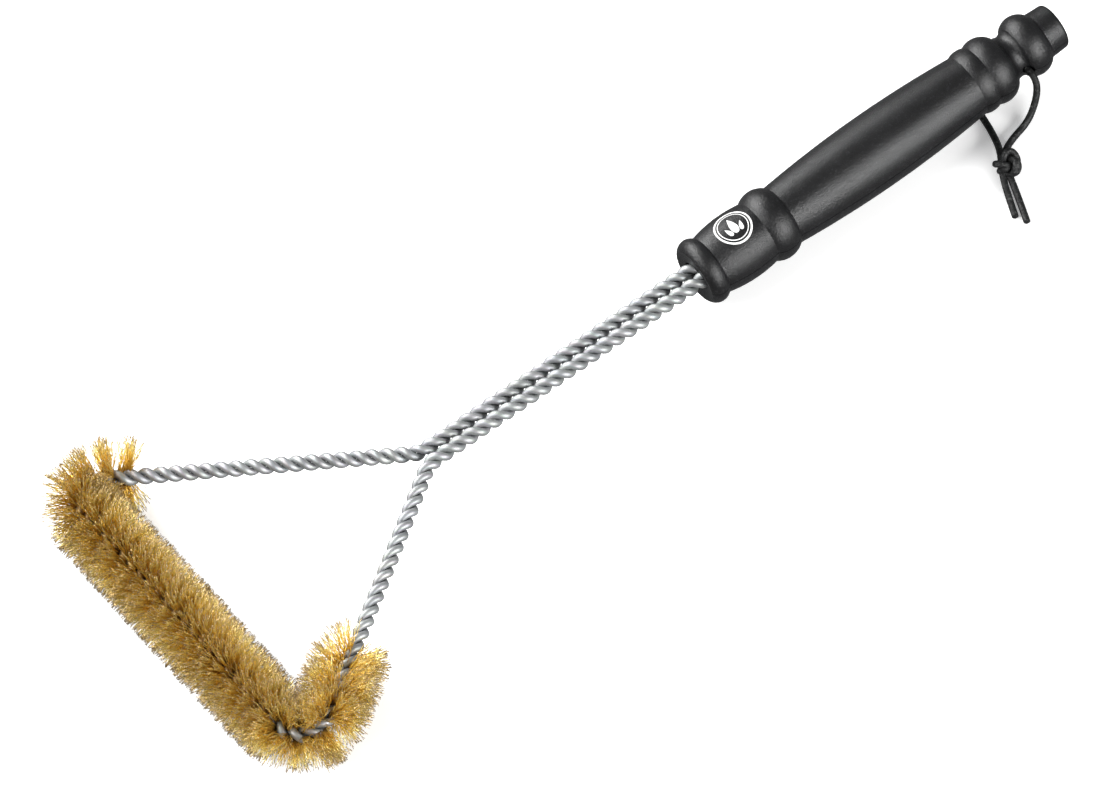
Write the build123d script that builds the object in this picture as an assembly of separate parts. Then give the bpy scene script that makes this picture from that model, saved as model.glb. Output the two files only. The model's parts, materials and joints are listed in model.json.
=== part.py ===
from build123d import *
import math
import os

# Grill cleaning brush: a triangular head of twisted steel wire with brass bristles, a twin
# twisted stem, a hollow plastic handle of two half shells, and a knotted hanging cord.
#
# The parts are built with the handle's axis on X, its mouth at X = 0 and the head towards -X,
# on the seam plane Z = 0. At the end everything moves so that the brush stands on Z = 0 with
# the origin under the middle of its box, cord left out. All sizes are in millimetres.

# Twisted wire
WIRE_DIAMETER = 3.5
STRAND_GAP = 0.1
STRAND_RADIUS = (WIRE_DIAMETER + STRAND_GAP) / 2
ROPE_RADIUS = STRAND_RADIUS + WIRE_DIAMETER / 2
LAY_LENGTH = 12.55
POINTS_PER_TURN = 18
WIRE_END_GAP = 0.04

# Frame that the rope is bent to
ROPE_SPACING = 6.9
ROPE_INSIDE_HANDLE = 62.0
STEM_LENGTH = 139.0
HEAD_DEPTH = 123.0
HEAD_HALF_WIDTH = 91.0
SHOULDER_BEND = 14.0
CORNER_BEND = 11.0
STEM_LEAN = 1.2

# Bristles
BRISTLE_RADIUS = 18.7
FAN_THICKNESS = 0.2
FAN_PITCH = LAY_LENGTH / 2
ROOT_CLEARANCE = 0.2
ROOT_THICKNESS = 0.6
HEAD_SECTIONS = 4
LEFT_ARM_BRISTLES = 9.0
RIGHT_ARM_BRISTLES = 30.5
CORNER_FANS = 4
MITRE_GAP = 0.3

# Handle
HANDLE_LENGTH = 189.5
WALL = 2.6
SEAM_GROOVE_WIDTH = 0.3
SEAM_GROOVE_SHARE = 0.025
CAVITY_START = 3.5
CAVITY_END = 157.0
MOUTH_CLEARANCE = 0.4
RIB_THICKNESS = 2.0
ROPE_RIBS = [18.0, 41.0, 57.0]
RIB_SLOT_CLEARANCE = 1.6
POST_PLACES = [82.0, 108.0, 134.0]
POST_RADIUS = 3.6
PIN_RADIUS = 1.5
PIN_HEIGHT = 3.0
PIN_CLEARANCE = 0.12
CORD_HOLE_X = 167.2
CORD_HOLE_RADIUS = 2.3

# Anchor ferrule, crimped over both rope ends inside the handle
FERRULE_X = 44.5
FERRULE_LENGTH = 10.0
FERRULE_WALL = 1.2
FERRULE_CLEARANCE = 0.1

# Cord, knot and their routes, measured from the middle of the cord hole
CORD_DIAMETER = 3.0
FLOOR = -BRISTLE_RADIUS
CORD_ON_FLOOR = FLOOR + CORD_DIAMETER / 2
KNOT_CENTRE = Vector(-31.6, -34.2, FLOOR + 5.4)
KNOT_HALF_SIZES = (5.2, 6.4, 5.4)
FRONT_LEG = [
    (0, 0, 0),
    (0, -8.6, 0),
    (-0.3, -16.4, -0.9),
    (-2.5, -18.2, -9.0),
    (-10.0, -20.5, CORD_ON_FLOOR),
    (-20.5, -24.5, CORD_ON_FLOOR),
    (-28.6, -30.6, CORD_ON_FLOOR + 1.6),
]
REAR_LEG = [
    (0, 0, 0),
    (0, 8.6, 0),
    (-0.3, 16.4, -0.9),
    (-7.5, 18.8, -9.0),
    (-19.5, 14.0, CORD_ON_FLOOR),
    (-23.0, 1.0, CORD_ON_FLOOR),
    (-24.5, -13.0, CORD_ON_FLOOR),
    (-27.3, -23.5, CORD_ON_FLOOR + 1.2),
    (-30.6, -29.4, CORD_ON_FLOOR + 4.3),
]
LONG_END = [
    (-32.2, -38.8, CORD_ON_FLOOR + 1.4),
    (-36.3, -50.2, CORD_ON_FLOOR),
    (-40.8, -61.4, CORD_ON_FLOOR),
]
SHORT_END = [
    (-35.0, -36.4, CORD_ON_FLOOR + 1.8),
    (-39.0, -46.4, CORD_ON_FLOOR),
    (-42.8, -56.0, CORD_ON_FLOOR),
]
FILLET_SHARE = 0.45


# ---------------------------------------------------------------- rope path


def make_rope_path():
    """The rope's middle line: handle, stem, shoulder, arm, corner, head and back."""
    half_gap = ROPE_SPACING / 2
    shoulder_x = -STEM_LENGTH
    head_x = -STEM_LENGTH - HEAD_DEPTH
    corners = [
        (ROPE_INSIDE_HANDLE, half_gap),
        (shoulder_x, half_gap),
        (head_x, HEAD_HALF_WIDTH),
        (head_x, -HEAD_HALF_WIDTH),
        (shoulder_x, -half_gap),
        (ROPE_INSIDE_HANDLE, -half_gap),
    ]
    radii = [SHOULDER_BEND, CORNER_BEND, CORNER_BEND, SHOULDER_BEND]
    return FilletPolyline(*corners, radius=radii).wire()


ROPE_PATH = make_rope_path()
ROPE_LENGTH = ROPE_PATH.length
# Start angle that sets the two stem ropes a quarter turn apart, so that they nest
PHASE = (math.pi / 2 - 2 * math.pi * ROPE_LENGTH / LAY_LENGTH) / 2


def centre_at(distance):
    return ROPE_PATH.position_at(distance, position_mode=PositionMode.LENGTH)


def direction_at(distance):
    return ROPE_PATH.tangent_at(distance, position_mode=PositionMode.LENGTH)


def rope_stretches():
    """Where each straight run and each bend of the rope starts and ends along its length."""
    ends = [0.0]
    for edge in ROPE_PATH.edges():
        ends.append(ends[-1] + edge.length)
    names = ["left_stem", "left_shoulder", "left_arm", "left_corner", "head"]
    names += ["right_corner", "right_arm", "right_shoulder", "right_stem"]
    return {name: (ends[i], ends[i + 1]) for i, name in enumerate(names)}


STRETCHES = rope_stretches()


# ---------------------------------------------------------------- twisted wires


def strand_offset(distance, strand):
    """Vector from the rope's middle to a strand's middle."""
    angle = 2 * math.pi * distance / LAY_LENGTH + PHASE + strand * math.pi
    side = Vector(0, 0, 1).cross(direction_at(distance))
    return side * (STRAND_RADIUS * math.cos(angle)) + Vector(0, 0, 1) * (STRAND_RADIUS * math.sin(angle))


def strand_point(distance, strand):
    return centre_at(distance) + strand_offset(distance, strand)


def straight_strand(start, end, strand):
    """One wire of a straight stretch, as an exact right-hand helix."""
    axis_plane = Plane(
        origin=centre_at(start),
        x_dir=strand_offset(start, strand).normalized(),
        z_dir=direction_at((start + end) / 2),
    )
    helix = Edge.make_helix(pitch=LAY_LENGTH, height=end - start, radius=STRAND_RADIUS)
    helix = helix.moved(axis_plane.location)
    section = Plane(origin=helix @ 0, z_dir=helix % 0) * Circle(WIRE_DIAMETER / 2)
    return sweep(section, path=helix, is_frenet=True)


def bent_strand(start, end, strand):
    """One wire where the rope bends, through points of the bent helix."""
    count = math.ceil((end - start) / LAY_LENGTH * POINTS_PER_TURN)
    points = [strand_point(start + (end - start) * i / count, strand) for i in range(count + 1)]
    curve = Edge.make_spline(points)
    section = Plane(origin=curve @ 0, z_dir=curve % 0) * Circle(WIRE_DIAMETER / 2)
    return sweep(section, path=curve)


def make_wires():
    """Both wires of the rope, stretch by stretch."""
    wires = {}
    for name, (start, end) in STRETCHES.items():
        bend = "shoulder" in name or "corner" in name
        build = bent_strand if bend else straight_strand
        for strand, letter in enumerate("ab"):
            wires[f"{name}_wire_{letter}"] = build(start + WIRE_END_GAP, end - WIRE_END_GAP, strand)
    return wires


# ---------------------------------------------------------------- bristles


ROOT_INNER = ROPE_RADIUS + ROOT_CLEARANCE
ROOT_OUTER = ROOT_INNER + ROOT_THICKNESS
BIG = 400.0


def across(distance):
    """Plane square to the rope at a distance along it."""
    return Plane(origin=centre_at(distance), z_dir=direction_at(distance))


def straight_tube(start, end, radius, overrun=0.0):
    return across((start + end) / 2).location * Cylinder(radius, end - start + 2 * overrun)


def bend_centre(corner):
    """Centre of the corner's bend, and the unit vector from it towards the corner."""
    start, end = STRETCHES[corner]
    first, last = centre_at(start), centre_at(end)
    outwards = (centre_at((start + end) / 2) - (first + last) * 0.5).normalized()
    middle = centre_at((start + end) / 2) - outwards * CORNER_BEND
    return middle, outwards


def keep_side(solid, origin, normal):
    """The part of a solid on the side of a plane that the normal points to."""
    behind = Plane(origin=origin, z_dir=normal * -1)
    block = Box(BIG, BIG, BIG, align=(Align.CENTER, Align.CENTER, Align.MIN))
    return solid - behind.location * block


def straight_bristles(start, end, corners):
    """Fans of bristles on a straight stretch, mitred where they would meet the next stretch."""
    count = max(1, round((end - start) / FAN_PITCH))
    pitch = (end - start) / count
    solid = straight_tube(start, end, ROOT_OUTER)
    for i in range(count):
        middle = start + (i + 0.5) * pitch
        solid += across(middle).location * Cylinder(BRISTLE_RADIUS, FAN_THICKNESS)
    for corner in corners:
        centre, outwards = bend_centre(corner)
        mitre_normal = outwards.cross(Vector(0, 0, 1))
        if mitre_normal.dot(centre_at((start + end) / 2) - centre) < 0:
            mitre_normal = mitre_normal * -1
        solid = keep_side(solid, centre + mitre_normal * MITRE_GAP, mitre_normal)
    return solid - straight_tube(start, end, ROOT_INNER, overrun=1.0)


def corner_bristles(corner):
    """Fans that spread round a corner, each cut off short of the bend's centre."""
    start, end = STRETCHES[corner]
    centre, _ = bend_centre(corner)
    bend = ThreePointArc(centre_at(start), centre_at((start + end) / 2), centre_at(end))
    pitch = (end - start) / CORNER_FANS
    solid = sweep(across(start) * Circle(ROOT_OUTER), path=bend)
    for i in range(CORNER_FANS):
        middle = start + (i + 0.5) * pitch
        outwards = (centre_at(middle) - centre).normalized()
        fan = across(middle).location * Cylinder(BRISTLE_RADIUS, FAN_THICKNESS)
        solid += keep_side(fan, centre + outwards * MITRE_GAP, outwards)
    return solid - sweep(across(start) * Circle(ROOT_INNER), path=bend)


def make_bristles():
    """The bristles in the stretches that a person would bind them in."""
    bristles = {}
    arm_end = STRETCHES["left_arm"][1]
    bristles["left_arm_bristles"] = straight_bristles(arm_end - LEFT_ARM_BRISTLES, arm_end, ["left_corner"])
    bristles["left_corner_bristles"] = corner_bristles("left_corner")
    head_start, head_end = STRETCHES["head"]
    section = (head_end - head_start) / HEAD_SECTIONS
    for i in range(HEAD_SECTIONS):
        start = head_start + i * section
        corners = ["left_corner", "right_corner"]
        bristles[f"head_bristles_{i + 1}"] = straight_bristles(start, start + section, corners)
    bristles["right_corner_bristles"] = corner_bristles("right_corner")
    arm_start = STRETCHES["right_arm"][0]
    arm_stop = arm_start + RIGHT_ARM_BRISTLES
    bristles["right_arm_bristles"] = straight_bristles(arm_start, arm_stop, ["right_corner"])
    return bristles


# ---------------------------------------------------------------- handle


def outer_profile():
    """Half section of the turned handle, in X along its axis and Y outwards."""
    with BuildLine() as outline:
        ThreePointArc((1.2, 0), (0.9, 6.5), (0, 12.2))
        ThreePointArc((0, 12.2), (3.75, 14.96), (8.4, 13.36))
        ThreePointArc((8.4, 13.36), (22.5, 15.1), (33.1, 14.2))
        ThreePointArc((33.1, 14.2), (38.7, 16.2), (45.7, 13.7))
        ThreePointArc((45.7, 13.7), (92.4, 16.02), (143.1, 13.85))
        ThreePointArc((143.1, 13.85), (146.9, 14.8), (150.5, 14.07))
        ThreePointArc((150.5, 14.07), (155.3, 15.17), (161.4, 12.2))
        ThreePointArc((161.4, 12.2), (164.7, 9.85), (168.5, 11.9))
        ThreePointArc((168.5, 11.9), (173.6, 13.94), (180.4, 10.7))
        Line((180.4, 10.7), (187.9, 10.3))
        ThreePointArc((187.9, 10.3), (189.0, 9.8), (HANDLE_LENGTH, 8.7))
        Line((HANDLE_LENGTH, 8.7), (HANDLE_LENGTH, 0))
        Line((HANDLE_LENGTH, 0), (1.2, 0))
    return make_face(outline.line)


def cavity_profile():
    """Half section of the hollow from behind the mouth to the neck."""
    with BuildLine() as outline:
        Line((CAVITY_START, 0), (CAVITY_START, 11.2))
        Line((CAVITY_START, 11.2), (33.0, 11.5))
        Line((33.0, 11.5), (46.0, 11.0))
        ThreePointArc((46.0, 11.0), (92.4, 16.02 - WALL), (143.0, 11.2))
        Line((143.0, 11.2), (CAVITY_END, 10.6))
        Line((CAVITY_END, 10.6), (CAVITY_END, 0))
        Line((CAVITY_END, 0), (CAVITY_START, 0))
    return make_face(outline.line)


def turned(profile):
    return revolve(profile, axis=Axis.X)


def half_space(upper):
    """Everything above or below the seam plane, as a block."""
    side = Align.MIN if upper else Align.MAX
    return Box(BIG * 2, BIG, BIG, align=(Align.CENTER, Align.CENTER, side))


def rope_slot(length, clearance, x):
    """Stadium-shaped block round both ropes, leaning with the stem."""
    height = 2 * (ROPE_RADIUS + clearance)
    slot = SlotCenterToCenter(ROPE_SPACING, height)
    across_stem = Plane(origin=(x, 0, 0), x_dir=(0, 1, 0), z_dir=(1, 0, 0))
    return head_lean() * extrude(across_stem * slot, amount=length)


def head_lean():
    """The stem's small lean in the seam plane, about the handle's mouth."""
    return Rotation(0, 0, -STEM_LEAN)


def seam_groove():
    """Shallow groove along the seam, as deep as a small share of the radius."""
    core = turned(scale(outer_profile(), by=(1, 1 - SEAM_GROOVE_SHARE, 1)))
    slab = Box(BIG * 2, BIG, SEAM_GROOVE_WIDTH)
    return slab - core


def rope_rib(x, cavity):
    """A cross rib that fills the cavity but for the slot that holds the ropes."""
    slab = Pos(x, 0, 0) * Box(RIB_THICKNESS, BIG, BIG)
    return (cavity & slab) - rope_slot(4 * RIB_THICKNESS, RIB_SLOT_CLEARANCE, x - 2 * RIB_THICKNESS)


def locating_posts(upper, cavity):
    """Posts on the handle's axis, with pins below the seam and sockets above it."""
    posts = []
    for x in POST_PLACES:
        post = Pos(x, 0, 0) * Cylinder(POST_RADIUS, BIG) & cavity & half_space(upper)
        if upper:
            depth = 2 * (PIN_HEIGHT + PIN_CLEARANCE)
            post -= Pos(x, 0, 0) * Cylinder(PIN_RADIUS + PIN_CLEARANCE, depth)
        else:
            grip = (Align.CENTER, Align.CENTER, Align.MIN)
            post += Pos(x, 0, -PIN_HEIGHT) * Cylinder(PIN_RADIUS, 2 * PIN_HEIGHT, align=grip)
        posts.append(post)
    return posts


def make_handle_shells():
    """Upper and lower half shell, meeting in the seam plane."""
    cavity = turned(cavity_profile())
    hollow = turned(outer_profile()) - cavity
    hollow -= rope_slot(4 * CAVITY_START, MOUTH_CLEARANCE, -2 * CAVITY_START)
    hollow -= Pos(CORD_HOLE_X, 0, 0) * Rotation(90, 0, 0) * Cylinder(CORD_HOLE_RADIUS, BIG)
    hollow -= seam_groove()
    ribs = [rope_rib(x, cavity) for x in ROPE_RIBS]
    shells = {}
    for name, upper in (("handle_top_shell", True), ("handle_bottom_shell", False)):
        shell = hollow & half_space(upper)
        for rib in ribs:
            shell += rib & half_space(upper)
        for post in locating_posts(upper, cavity):
            shell += post
        shells[name] = shell
    return shells


def make_ferrule():
    """Oval steel sleeve crimped over both ropes, held between two ribs."""
    outside = rope_slot(FERRULE_LENGTH, FERRULE_CLEARANCE + FERRULE_WALL, FERRULE_X)
    inside = rope_slot(3 * FERRULE_LENGTH, FERRULE_CLEARANCE, FERRULE_X - FERRULE_LENGTH)
    return outside - inside


# ---------------------------------------------------------------- hanging cord


def fillet_radii(route):
    """For each corner, the largest arc that its two runs allow."""
    radii = []
    for before, here, after in zip(route, route[1:], route[2:]):
        run_in = here - before
        run_out = after - here
        half_turn = math.radians(run_in.get_angle(run_out) / 2)
        radii.append(FILLET_SHARE * min(run_in.length, run_out.length) / math.tan(half_turn))
    return radii


def cord_tube(name, points):
    """A round tube of straight runs joined by tangent arcs."""
    hole = Vector(CORD_HOLE_X, 0, 0)
    route = [hole + Vector(*point) for point in points]
    radii = fillet_radii(route)
    path = FilletPolyline(*route, radius=radii)
    section = Plane(origin=path @ 0, z_dir=path % 0) * Circle(CORD_DIAMETER / 2)
    tube = sweep(section, path=path)
    plain = math.pi * (CORD_DIAMETER / 2) ** 2 * path.length
    shown = ", ".join(f"{radius:.1f}" for radius in radii)
    print(f"{name}: length {path.length:.1f}, radii {shown}, volume {tube.volume / plain:.4f} of section x length")
    return tube


def make_cord():
    """Both legs of the loop, the knot that joins them, and its two loose ends."""
    ball = scale(Sphere(1.0), by=KNOT_HALF_SIZES)
    knot = Pos(CORD_HOLE_X + KNOT_CENTRE.X, KNOT_CENTRE.Y, KNOT_CENTRE.Z) * ball
    routes = {
        "front_cord_leg": FRONT_LEG,
        "rear_cord_leg": REAR_LEG,
        "long_cord_end": LONG_END,
        "short_cord_end": SHORT_END,
    }
    cord = {name: cord_tube(name, points) - knot for name, points in routes.items()}
    cord["cord_knot"] = knot
    return cord


# ---------------------------------------------------------------- assembly


def main():
    os.makedirs("parts", exist_ok=True)
    head = {**make_wires(), **make_bristles()}
    brush = {name: head_lean() * solid for name, solid in head.items()}
    brush.update(make_handle_shells())
    brush["anchor_ferrule"] = make_ferrule()
    box = Compound(children=[Compound(solid.solids()) for solid in brush.values()]).bounding_box()
    to_origin = Pos(-box.center().X, -box.center().Y, -box.min.Z)
    for name, solid in {**brush, **make_cord()}.items():
        placed = to_origin * solid
        export_step(placed, f"parts/{name}.step")
    mouth = to_origin.position
    print(f"mouth at {mouth.X:.3f}, {mouth.Y:.3f}, {mouth.Z:.3f}")
    print(f"cord hole at {mouth.X + CORD_HOLE_X:.3f}, end face at {mouth.X + HANDLE_LENGTH:.3f}")
    print(f"brush box {box.size.X:.2f} x {box.size.Y:.2f} x {box.size.Z:.2f}")


main()
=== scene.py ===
"""Looks of the grill cleaning brush: twisted steel rope, brass filaments, moulded handle and waxed cord."""
import json
import logging
import math
from collections.abc import Sequence
from dataclasses import dataclass, field
from enum import Enum

import bpy
import numpy as np
from mathutils import Matrix, Vector

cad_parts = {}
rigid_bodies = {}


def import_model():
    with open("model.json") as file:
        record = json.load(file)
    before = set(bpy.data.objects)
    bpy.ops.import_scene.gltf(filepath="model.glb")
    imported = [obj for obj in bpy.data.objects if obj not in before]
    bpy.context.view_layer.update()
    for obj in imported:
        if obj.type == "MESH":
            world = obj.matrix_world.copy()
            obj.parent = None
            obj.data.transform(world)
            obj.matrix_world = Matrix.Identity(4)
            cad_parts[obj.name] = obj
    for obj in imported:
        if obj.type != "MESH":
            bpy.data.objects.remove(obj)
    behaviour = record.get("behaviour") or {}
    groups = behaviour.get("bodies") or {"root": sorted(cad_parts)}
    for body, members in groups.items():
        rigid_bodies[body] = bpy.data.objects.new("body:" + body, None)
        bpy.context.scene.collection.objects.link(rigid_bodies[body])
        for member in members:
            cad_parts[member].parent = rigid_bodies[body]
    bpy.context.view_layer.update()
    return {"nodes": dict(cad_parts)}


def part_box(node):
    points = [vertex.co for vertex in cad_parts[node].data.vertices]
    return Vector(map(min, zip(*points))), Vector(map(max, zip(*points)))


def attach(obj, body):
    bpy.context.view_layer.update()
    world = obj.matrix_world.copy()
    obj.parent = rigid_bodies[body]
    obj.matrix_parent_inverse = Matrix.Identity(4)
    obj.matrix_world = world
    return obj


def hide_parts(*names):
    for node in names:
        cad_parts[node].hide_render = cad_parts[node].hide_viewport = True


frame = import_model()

LOG = logging.getLogger("grill_brush")
MM = 0.001
SEED = 20
HOLE_FROM_MOUTH = 167.2 * MM
# the painted shade under the bristles stops this far before the head's end, so the steel shows bare at the
# right corner
UNSHADED_BEFORE_CORNER = 6.0 * MM
UP = np.array([0.0, 0.0, 1.0])


class Body(str, Enum):
    """Moving bodies of the frame."""

    BRUSH = "brush"
    LOOP = "hang_loop"


class Slot(str, Enum):
    """Material slots of the record that new pieces use."""

    PLASTIC = "handle_plastic"
    STEEL = "steel_wire"
    BRASS = "brass_bristle"
    CORD = "cord"


# ---------------------------------------------------------------- shaders


class Shader:
    """A node tree with short calls that add and join its nodes."""

    def __init__(self, tree: bpy.types.NodeTree) -> None:
        """Keep the tree that the nodes go into."""
        self.tree = tree

    def node(self, kind: str, inputs: dict | None = None, **settings: object) -> bpy.types.Node:
        """Add one node.

        Args:
            kind: Blender's node type.
            inputs: values or output sockets, by input name or index.
            settings: properties of the node.

        Returns:
            The new node.
        """
        made = self.tree.nodes.new(kind)
        for name, value in settings.items():
            setattr(made, name, value)
        for name, value in (inputs or {}).items():
            if isinstance(value, bpy.types.NodeSocket):
                self.tree.links.new(value, made.inputs[name])
            else:
                made.inputs[name].default_value = value
        return made

    def math(self, operation: str, first: object, second: object = 0.0) -> bpy.types.NodeSocket:
        """Add a Math node and return its value."""
        return self.node("ShaderNodeMath", {0: first, 1: second}, operation=operation).outputs[0]

    def mix(self, share: object, first: object, second: object, blend: str = "MIX") -> bpy.types.NodeSocket:
        """Mix two colours and return the result."""
        made = self.node("ShaderNodeMix", data_type="RGBA", blend_type=blend)
        for socket, value in ((made.inputs[0], share), (made.inputs[6], first), (made.inputs[7], second)):
            if isinstance(value, bpy.types.NodeSocket):
                self.tree.links.new(value, socket)
            else:
                socket.default_value = value
        return made.outputs[2]

    def ramp(self, value: bpy.types.NodeSocket, stops: Sequence[tuple[float, tuple]]) -> bpy.types.NodeSocket:
        """Colour a value by stops of place and colour, the first and the last given first."""
        made = self.node("ShaderNodeValToRGB", {0: value})
        elements = made.color_ramp.elements
        for index, (place, colour) in enumerate(stops):
            element = elements[index] if index < 2 else elements.new(place)
            element.position = place
            element.color = (*colour, 1.0)
        return made.outputs["Color"]

    def span(self, value: object, low: float, high: float) -> bpy.types.NodeSocket:
        """Spread a value from 0 to 1 over a range from low to high."""
        return self.node("ShaderNodeMapRange", {0: value, 3: low, 4: high}).outputs[0]

    def window(self, value: object, low: float, high: float) -> bpy.types.NodeSocket:
        """Turn a range from low to high into 0 to 1."""
        return self.node("ShaderNodeMapRange", {0: value, 1: low, 2: high}).outputs[0]


class Effects:
    """Shared node groups, each built once."""

    cells_per_noise = 2.1
    cell_share = 0.6
    speck_edges = (0.58, 0.74)
    blotch_edges = (0.35, 0.68)
    smear_scale = 0.4
    smear_distortion = 1.5

    def __init__(self) -> None:
        """Build the groups."""
        self.grain = self.build_grain()
        self.patina = self.build_patina()

    @staticmethod
    def start(name: str, outputs: list[str]) -> tuple:
        """Make an empty group that takes a place and a scale.

        Args:
            name: the group's name.
            outputs: names of the float outputs.

        Returns:
            The group, its shader helper, its two input sockets and its output node.
        """
        group = bpy.data.node_groups.new(name, "ShaderNodeTree")
        group.interface.new_socket(name="Vector", in_out="INPUT", socket_type="NodeSocketVector")
        group.interface.new_socket(name="Scale", in_out="INPUT", socket_type="NodeSocketFloat")
        for label in outputs:
            group.interface.new_socket(name=label, in_out="OUTPUT", socket_type="NodeSocketFloat")
        shader = Shader(group)
        source = shader.node("NodeGroupInput").outputs
        return group, shader, source["Vector"], source["Scale"], shader.node("NodeGroupOutput")

    def build_grain(self) -> bpy.types.NodeTree:
        """Fine pits and specks, as on moulded or waxed surfaces."""
        group, shader, place, scale, sink = self.start("fine_grain", ["Height", "Speck"])
        noise = shader.node("ShaderNodeTexNoise", {"Vector": place, "Scale": scale, "Detail": 3.0})
        fine = noise.outputs["Fac"]
        closer = shader.math("MULTIPLY", scale, self.cells_per_noise)
        cells = shader.node("ShaderNodeTexVoronoi", {"Vector": place, "Scale": closer})
        pits = shader.math("MULTIPLY", cells.outputs["Distance"], self.cell_share)
        group.links.new(shader.math("ADD", fine, pits), sink.inputs["Height"])
        group.links.new(shader.window(fine, *self.speck_edges), sink.inputs["Speck"])
        return group

    def build_patina(self) -> bpy.types.NodeTree:
        """Slow blotches that vary colour and gloss over a surface."""
        group, shader, place, scale, sink = self.start("patina", ["Mask", "Smear"])
        blotch = shader.node("ShaderNodeTexNoise", {"Vector": place, "Scale": scale, "Detail": 5.0})
        mask = shader.window(blotch.outputs["Fac"], *self.blotch_edges)
        wider = shader.math("MULTIPLY", scale, self.smear_scale)
        inputs = {"Vector": place, "Scale": wider, "Distortion": self.smear_distortion}
        smear = shader.node("ShaderNodeTexNoise", inputs)
        group.links.new(mask, sink.inputs["Mask"])
        group.links.new(smear.outputs["Fac"], sink.inputs["Smear"])
        return group


@dataclass(frozen=True)
class Finish:
    """Base of the finishes: a named material around one Principled shader. No relief means no grain."""

    name: str
    gloss: tuple[float, float] = (0.35, 0.6)
    patina_scale: float = 240.0
    grain_scale: float = 1600.0
    relief: float = 0.05 * MM
    relief_strength: float = 0.4

    def begin(self, effects: Effects) -> tuple:
        """Make the material with its Principled shader, patina, grain and gloss.

        Args:
            effects: the shared node groups.

        Returns:
            The material, its shader helper, the Principled node, and the patina's and the grain's outputs.
        """
        material = bpy.data.materials.new(self.name)
        material.use_nodes = True
        material.node_tree.nodes.clear()
        shader = Shader(material.node_tree)
        surface = shader.node("ShaderNodeBsdfPrincipled")
        shader.node("ShaderNodeOutputMaterial", {"Surface": surface.outputs[0]})
        place = shader.node("ShaderNodeTexCoord").outputs["Object"]
        patina = self.group(shader, effects.patina, place, self.patina_scale)
        grain = self.group(shader, effects.grain, place, self.grain_scale) if self.relief else None
        rough = shader.span(patina["Smear"], *self.gloss)
        shader.tree.links.new(rough, surface.inputs["Roughness"])
        return material, shader, surface, patina, grain

    @staticmethod
    def group(
        shader: Shader, tree: bpy.types.NodeTree, vector: bpy.types.NodeSocket, scale: float
    ) -> bpy.types.NodeOutputs:
        """Place a shared effect with its own scale and return its outputs."""
        made = shader.node("ShaderNodeGroup", node_tree=tree)
        shader.tree.links.new(vector, made.inputs["Vector"])
        made.inputs["Scale"].default_value = scale
        return made.outputs

    def bump(self, shader: Shader, surface: bpy.types.Node, height: bpy.types.NodeSocket) -> None:
        """Feed a height to the surface's normal."""
        inputs = {"Height": height, "Distance": self.relief, "Strength": self.relief_strength}
        made = shader.node("ShaderNodeBump", inputs)
        shader.tree.links.new(made.outputs["Normal"], surface.inputs["Normal"])


@dataclass(frozen=True)
class MottledFinish(Finish):
    """A finish of two base colours by patina, with specks of a third."""

    first: tuple = (0.0, 0.0, 0.0)
    second: tuple = (0.0, 0.0, 0.0)
    speck: tuple | None = None
    metallic: float = 0.0
    specular: float = 0.5

    def build(self, effects: Effects) -> bpy.types.Material:
        """Make the material."""
        material, shader, surface, patina, grain = self.begin(effects)
        base = shader.mix(patina["Mask"], (*self.first, 1), (*self.second, 1))
        if self.speck:
            base = shader.mix(grain["Speck"], base, (*self.speck, 1))
        shader.tree.links.new(base, surface.inputs["Base Color"])
        surface.inputs["Metallic"].default_value = self.metallic
        surface.inputs["Specular IOR Level"].default_value = self.specular
        self.bump(shader, surface, grain["Height"])
        return material


@dataclass(frozen=True)
class MouldedPlastic(MottledFinish):
    """Black satin plastic with a fine moulded grain."""

    first: tuple = (0.0018, 0.0018, 0.002)
    second: tuple = (0.0036, 0.0036, 0.004)
    speck: tuple = (0.022, 0.022, 0.024)
    gloss: tuple[float, float] = (0.32, 0.44)
    patina_scale: float = 60.0
    grain_scale: float = 1300.0
    relief: float = 0.14 * MM
    relief_strength: float = 1.0
    specular: float = 0.45


@dataclass(frozen=True)
class PlatedSteel(MottledFinish):
    """Dull zinc plate of the crimped ferrule."""

    first: tuple = (0.55, 0.56, 0.58)
    second: tuple = (0.36, 0.37, 0.40)
    metallic: float = 1.0


@dataclass(frozen=True)
class WaxedCord(MottledFinish):
    """Black waxed cord with a mottled, slightly crushed skin."""

    first: tuple = (0.003, 0.003, 0.0033)
    second: tuple = (0.009, 0.0095, 0.0095)
    speck: tuple = (0.06, 0.062, 0.06)
    gloss: tuple[float, float] = (0.38, 0.62)
    patina_scale: float = 320.0
    grain_scale: float = 760.0
    relief: float = 0.3 * MM
    relief_strength: float = 1.0
    specular: float = 0.3


@dataclass(frozen=True)
class WhitePrint(MottledFinish):
    """Pad-printed white ink, thin and slightly worn."""

    first: tuple = (0.78, 0.78, 0.77)
    second: tuple = (0.78, 0.78, 0.77)
    speck: tuple = (0.42, 0.42, 0.42)
    gloss: tuple[float, float] = (0.35, 0.55)
    patina_scale: float = 420.0
    grain_scale: float = 1500.0
    relief: float = 0.03 * MM
    relief_strength: float = 0.3


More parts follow.
